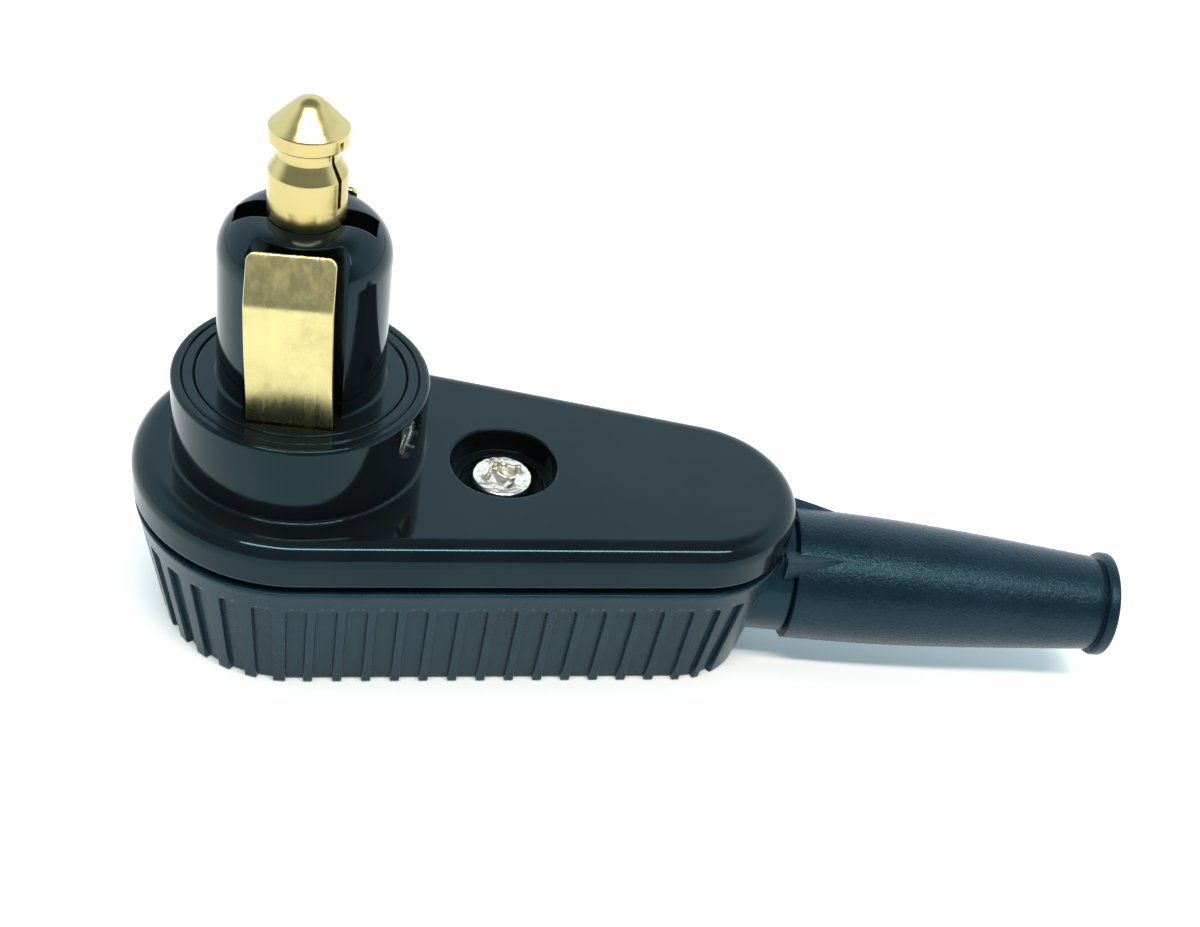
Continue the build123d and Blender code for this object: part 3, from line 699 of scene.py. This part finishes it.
def screw_mesh():
    """Rings from the head's middle outwards, then down the head and the shank."""
    turns = [2 * math.pi * k / SEGMENTS for k in range(SEGMENTS)]
    rings = []
    for r in [0.02] + [0.06 * k for k in range(1, 38)] + [2.28, HEAD_RADIUS - 0.02]:
        ring = []
        for a in turns:
            x, y = r * math.cos(a), r * math.sin(a)
            ring.append((SCREW_X + x, y, head_height(x, y)))
        rings.append(ring)
    low = screw_low.z
    for r, z in (
        (HEAD_RADIUS, HEAD_UNDER), (HEAD_RADIUS, SCREW_SEAT + 0.05),
        (HEAD_RADIUS - 0.05, SCREW_SEAT), (SHANK_RADIUS, SCREW_SEAT),
        (SHANK_RADIUS, low + SCREW_TIP), (SHANK_RADIUS - SCREW_TIP, low),
    ):
        rings.append([(SCREW_X + r * math.cos(a), r * math.sin(a), z) for a in turns])
    return new_piece("cross_head_screw", *skin(rings), 50)


place_piece(screw_mesh(), "casing", "nickel_screw", "casing_screw")

# ---- Spring contacts: rolled strips with rounded edges and two faint creases ----
STRIP_WIDTH = 5.9
STRIP_THICKNESS = 0.4
STRIP_BOW = ((0.0, 6.0), (1.55, 6.1), (6.2, 6.52), (9.9, 6.45))
STRIP_BEND = (10.35, 6.44)
STRIP_TIP = (13.2, 4.5)
STRIP_LEAN = math.radians(1.5)
STRIP_EDGE = 0.09
STRIP_CROWN = 0.025
STRIP_BACK = 0.03
BOW_STEPS = 26
BEND_STEPS = 8
END_STEPS = 6
BEND_SHARE = 0.96
SLOPE_REACH = 0.02
# Two faint creases run along the strip at this share of its half width
CREASE_AT = 0.64
CREASE_DEPTH = 0.014
FACE_SHARES = (0.3, 0.58, 0.62, CREASE_AT, 0.66, 0.7, 0.9, 0.97, 1)
# (share of the thickness, mm back from the tip, mm in from the side) at the rounded end
STRIP_END = ((1.0, 0.3, 0.08), (1.0, 0.12, 0.24), (0.9, 0.04, 0.38), (0.72, 0.0, 0.52))


def strip_path():
    """(y, z, slope of y over z) along a contact's middle, from its root."""
    path = []
    for k in range(BOW_STEPS):
        z = STRIP_BOW[-1][0] * k / BOW_STEPS
        above = curve_value(STRIP_BOW, z + SLOPE_REACH)
        below = curve_value(STRIP_BOW, max(z - SLOPE_REACH, 0))
        slope = (above - below) / (2 * SLOPE_REACH)
        path.append((curve_value(STRIP_BOW, z), z, slope if k else 0.0))
    start = Vector((STRIP_BOW[-1][1], STRIP_BOW[-1][0]))
    bend = Vector((STRIP_BEND[1], STRIP_BEND[0]))
    tip = Vector((STRIP_TIP[1], STRIP_TIP[0]))
    first, last = (bend - start).normalized(), (tip - bend).normalized()
    reach = (bend - start).length * BEND_SHARE
    near, far = bend - first * reach, bend + last * reach
    for k in range(BEND_STEPS + 1):
        t = k / BEND_STEPS
        here = (1 - t) ** 2 * near + 2 * t * (1 - t) * bend + t * t * far
        heading = ((1 - t) * first + t * last).normalized()
        path.append((here.x, here.y, heading.x / heading.y))
    for k in range(1, END_STEPS + 1):
        here = far + (tip - far) * k / END_STEPS
        path.append((here.x, here.y, last.x / last.y))
    return path


def strip_outline():
    """(x, distance outwards) points round the strip's cross section."""
    half, edge = STRIP_WIDTH / 2, STRIP_EDGE
    outline = []
    for share in [-k for k in reversed(FACE_SHARES)] + [0, *FACE_SHARES]:
        crease = CREASE_DEPTH if abs(share) == CREASE_AT else 0.0
        bulge = STRIP_CROWN * (1 - share * share)
        outline.append((share * (half - edge), STRIP_THICKNESS / 2 - STRIP_BACK + bulge - crease))

    def side_edge(side, start):
        for k in range(1, 6):
            a = start - math.pi * k / 6
            height = (STRIP_THICKNESS / 2 - edge) * math.sin(a) + 0.5 * edge * math.sin(a)
            outline.append((side * (half - edge) + edge * math.cos(a), height))

    side_edge(1, math.pi / 2)
    for share in (1, 0.5, 0, -0.5, -1):
        outline.append((share * (half - edge), -STRIP_THICKNESS / 2 + 0.01))
    side_edge(-1, -math.pi / 2)
    return outline


def strip_mesh(name, side, lean):
    """One contact; side is -1 for the front, +1 for the rear, lean in radians."""
    outline = strip_outline()
    path = strip_path()
    rings = []
    last = len(path) - 1
    for k, (y, z, slope) in enumerate(path):
        length = math.hypot(slope, 1)
        normal = Vector((1 / length, -slope / length))
        for shrink, back, inset in ((1.0, 0.0, 0.0),) if k < last else STRIP_END:
            ring = []
            for x, out in outline:
                thin = out * shrink
                px = x * (1 - inset / (STRIP_WIDTH / 2))
                py = y + normal.x * thin - back * slope / length
                pz = z + normal.y * thin - back / length
                ring.append(Vector((px, side * py, pz)))
            rings.append(ring)
    turn = Matrix.Rotation(-lean, 3, "Y")
    root = Vector((0, 0, joint_at["front_contact_flex"].z))
    rings = [[tuple(turn @ p + root) for p in ring] for ring in rings]
    return new_piece(name, *skin(rings), 60)


front = strip_mesh("front_strip", -1, STRIP_LEAN)
place_piece(front, "front_contact", "contact_brass", "front_spring_contact")
rear = strip_mesh("rear_strip", 1, 0.0)
place_piece(rear, "rear_contact", "contact_brass", "rear_spring_contact")

# ---- Centre pin: turned edges and its slit ----
PIN_RADIUS = pin_high.x
PIN_TIP = pin_high.z
CAP_RADIUS = 1.5
CAP_ANGLE = math.radians(43.5)
SLIT_AZIMUTH = math.radians(-32.0)
SLIT_HALF = 0.175
SLIT_LOW = 35.5
SLIT_HIGH = 40.3
SLIT_DEPTH = 1.3
SLIT_STEP = 0.02
ROD_RADIUS = 2.0
ROD_TOP = 18.02
ROD_CHAMFER = 0.3
PIN_SHANK_RADIUS = 2.2
WAIST_TOP = 37.5
WAIST_LOW = 38.55
WAIST_RADIUS = 2.0
HEAD_BOTTOM = 39.5
HEAD_RIM = 40.6
PIN_EDGE = 0.09
CAP_STEPS = 12
AXIS_GAP = 0.02
SLIT_SHARES = (0.0, 1.0, 1.05, 1.3)
PIN_SEGMENTS = 96


def cap_point(angle):
    """(radius, height) on the pin's rounded tip, that far from its top."""
    return CAP_RADIUS * math.sin(angle), PIN_TIP - CAP_RADIUS * (1 - math.cos(angle))


def pin_angles():
    """Where the pin's rings have points: evenly round, and closely at the slit."""
    angles = set()
    for side in (0.0, math.pi):
        for gap in SLIT_SHARES:
            for sign in (-1, 1):
                turn = SLIT_AZIMUTH + side + sign * gap * SLIT_HALF / PIN_RADIUS
                angles.add(turn % (2 * math.pi))
    plain = [2 * math.pi * k / PIN_SEGMENTS for k in range(PIN_SEGMENTS)]
    angles |= {a for a in plain if all(abs(a - b) > 0.02 for b in angles)}
    return sorted(angles)


def pin_mesh():
    """The pin's turned outline with the slit sunk into it."""
    seat = corners("plug_nose")[1].z + SLIT_STEP
    low = pin_low.z
    outline = rounded([
        (AXIS_GAP, low), (1.7, low), (ROD_RADIUS, low + ROD_CHAMFER), (ROD_RADIUS, ROD_TOP),
        (PIN_SHANK_RADIUS, ROD_TOP), (PIN_SHANK_RADIUS, seat), (PIN_RADIUS, seat),
        (PIN_RADIUS, SLIT_LOW - SLIT_STEP), (PIN_RADIUS, SLIT_LOW), (PIN_RADIUS, 36.5),
        (PIN_RADIUS, WAIST_TOP), (2.02, WAIST_LOW), (WAIST_RADIUS, 38.9),
        (WAIST_RADIUS, HEAD_BOTTOM), (2.5, HEAD_BOTTOM), (PIN_RADIUS, 39.65),
        (PIN_RADIUS, SLIT_HIGH), (PIN_RADIUS, SLIT_HIGH + SLIT_STEP), (PIN_RADIUS, HEAD_RIM),
        cap_point(CAP_ANGLE),
    ], PIN_EDGE)
    outline += [cap_point(CAP_ANGLE * k / CAP_STEPS) for k in range(CAP_STEPS - 1, 0, -1)]
    outline.append((AXIS_GAP, PIN_TIP))
    angles = pin_angles()
    rings = []
    for radius, z in outline:
        ring = []
        for a in angles:
            across = min(abs(math.sin(a - SLIT_AZIMUTH)), 1.0) * PIN_RADIUS
            cut = SLIT_LOW <= z <= SLIT_HIGH and across < SLIT_HALF * 1.02
            r = radius - SLIT_DEPTH if cut else radius
            ring.append((r * math.cos(a), r * math.sin(a), z))
        rings.append(ring)
    return new_piece("turned_pin", *skin(rings), 32)


place_piece(pin_mesh(), "nose", "pin_brass", "centre_pin")

# ---- Camera ----
CAMERA_AT = Vector((10.638, -98.112, 94.061)) * MM
CAMERA_TURN = 0.042
CAMERA_TILT = 0.692
CAMERA_ROLL = -0.130
CAMERA_LENS = 51.794
CAMERA_SENSOR = 36.0
CAMERA_SHIFT = (0.0854, 0.018)
CAMERA_CLIP = (0.005, 10.0)


def add_camera():
    """The camera, turned about Z, tilted down and rolled by the angles above in radians."""
    data = bpy.data.cameras.new("Camera")
    data.sensor_width = CAMERA_SENSOR
    data.lens = CAMERA_LENS
    data.shift_x, data.shift_y = CAMERA_SHIFT
    data.clip_start, data.clip_end = CAMERA_CLIP
    camera = bpy.data.objects.new("Camera", data)
    bpy.context.scene.collection.objects.link(camera)
    turn, tilt = CAMERA_TURN, CAMERA_TILT
    level = Vector((math.cos(turn), -math.sin(turn), 0))
    ahead = Vector((
        math.sin(turn) * math.cos(tilt), math.cos(turn) * math.cos(tilt), -math.sin(tilt)
    ))
    down = ahead.cross(level)
    c, s = math.cos(CAMERA_ROLL), math.sin(CAMERA_ROLL)
    right = level * c + down * s
    up = -(down * c - level * s)
    camera.matrix_world = Matrix((right, up, -ahead)).transposed().to_4x4()
    camera.location = CAMERA_AT
    bpy.context.scene.camera = camera


add_camera()


# ---- Floor and lights ----
FLOOR_HALF = 3.0
FLOOR_COLOUR = (0.90, 0.915, 0.92)
FLOOR_GLOW_COLOUR = (0.55, 0.90, 1.0)
FLOOR_GLOW = 0.16
ROOM_COLOUR = (0.80, 0.93, 1.0)
# The room is bright where Y of the direction is past the second number, dark before the first
WORLD_FRONT = (-0.45, 0.0)
# and dark again overhead, from the first to the second number of Z
WORLD_CEILING = (0.66, 0.86)
WORLD_DARK = 0.36
WORLD_BRIGHT = 1.4


def stage_floor():
    """A wide pale floor with a faint glow of its own."""
    mesh = bpy.data.meshes.new("Floor")
    half = FLOOR_HALF
    square = [(-half, -half, 0), (half, -half, 0), (half, half, 0), (-half, half, 0)]
    mesh.from_pydata(square, [], [(0, 1, 2, 3)])
    floor = bpy.data.objects.new("Floor", mesh)
    bpy.context.scene.collection.objects.link(floor)
    s = Shader(
        "PaperFloor", Roughness=0.85, Specular_IOR_Level=0.2, Base_Color=opaque(FLOOR_COLOUR),
        Emission_Color=opaque(FLOOR_GLOW_COLOUR), Emission_Strength=FLOOR_GLOW,
    )
    mesh.materials.append(s.material)


def area_light(name, at, aim, size, power, colour=(1, 1, 1), mirrored=True):
    """A round area light at one point, aimed at another."""
    data = bpy.data.lights.new(name, "AREA")
    data.shape = "DISK"
    data.size = size
    data.energy = power
    data.color = colour
    lamp = bpy.data.objects.new(name, data)
    bpy.context.scene.collection.objects.link(lamp)
    lamp.location = at
    lamp.rotation_euler = (Vector(aim) - Vector(at)).to_track_quat("-Z", "Y").to_euler()
    lamp.visible_glossy = mirrored
    return lamp


def studio_world():
    """A white sweep behind and at the sides, a dark ceiling and a dark room in front."""
    world = bpy.data.worlds.new("Studio")
    world.use_nodes = True
    tree = world.node_tree
    toward = add_node(tree, "TexCoord", {}).outputs["Generated"]
    axes = add_node(tree, "SeparateXYZ", {0: toward}).outputs

    def span(value, limits, to_low, to_high, **settings):
        made = add_node(tree, "MapRange", {
            "Value": value, "From Min": limits[0], "From Max": limits[1],
            "To Min": to_low, "To Max": to_high,
        }, **settings)
        return made.outputs[0]

    behind = span(axes["Y"], WORLD_FRONT, 0.0, 1.0, interpolation_type="SMOOTHSTEP")
    low = span(axes["Z"], WORLD_CEILING, 1.0, 0.0, interpolation_type="SMOOTHSTEP")
    sweep = add_node(tree, "Math", {0: behind, 1: low}, operation="MULTIPLY").outputs[0]
    background = tree.nodes["Background"]
    background.inputs["Color"].default_value = opaque(ROOM_COLOUR)
    strength = span(sweep, (0.0, 1.0), WORLD_DARK, WORLD_BRIGHT)
    tree.links.new(strength, background.inputs["Strength"])
    bpy.context.scene.world = world


stage_floor()
studio_world()
bpy.context.scene.view_settings.view_transform = "Standard"
strip_lamp = area_light(
    "StripLamp", (0.10, -0.28, 0.60), (0.10, 0, 0.02), 0.7, 4.2, (1.0, 0.88, 0.80)
)
strip_lamp.data.shape = "RECTANGLE"
strip_lamp.data.size_y = 0.045
area_light("Softbox", (0.03, 0.10, 0.75), (0.02, 0, 0.0), 0.5, 1.7, mirrored=False)
